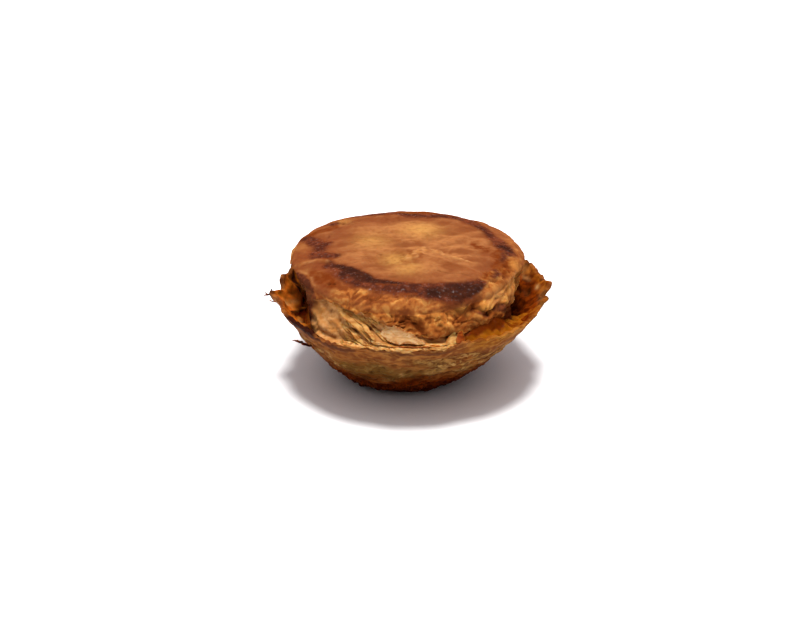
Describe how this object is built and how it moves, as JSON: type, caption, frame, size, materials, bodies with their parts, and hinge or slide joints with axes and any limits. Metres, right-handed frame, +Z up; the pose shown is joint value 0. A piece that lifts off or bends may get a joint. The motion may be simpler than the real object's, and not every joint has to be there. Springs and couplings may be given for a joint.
{
  "type": "round meat pie",
  "caption": "Small round puff-pastry meat pie: a bowl-shaped case with a ragged rim and a puffed, flaky lid with a burnt ring, resting on a flat spot.",
  "frame": {"origin": "middle of the flat spot under the case, on the surface that the pie stands on", "axes": "+Z up; -Y is the front, where the lid's torn layers run down to the rim; +X is the right seen from the front"},
  "size_m": [0.0776, 0.0763, 0.0369],
  "materials": {
    "case_pastry": "baked puff pastry, tan to orange-brown, mottled with pale spots, dark at the torn rim",
    "lid_pastry": "egg-glazed golden puff pastry with a dark burnt ring and cream torn flakes"
  },
  "bodies": {
    "root": {"pastry_case": "case_pastry", "pastry_lid": "lid_pastry"}
  },
  "joints": []
}
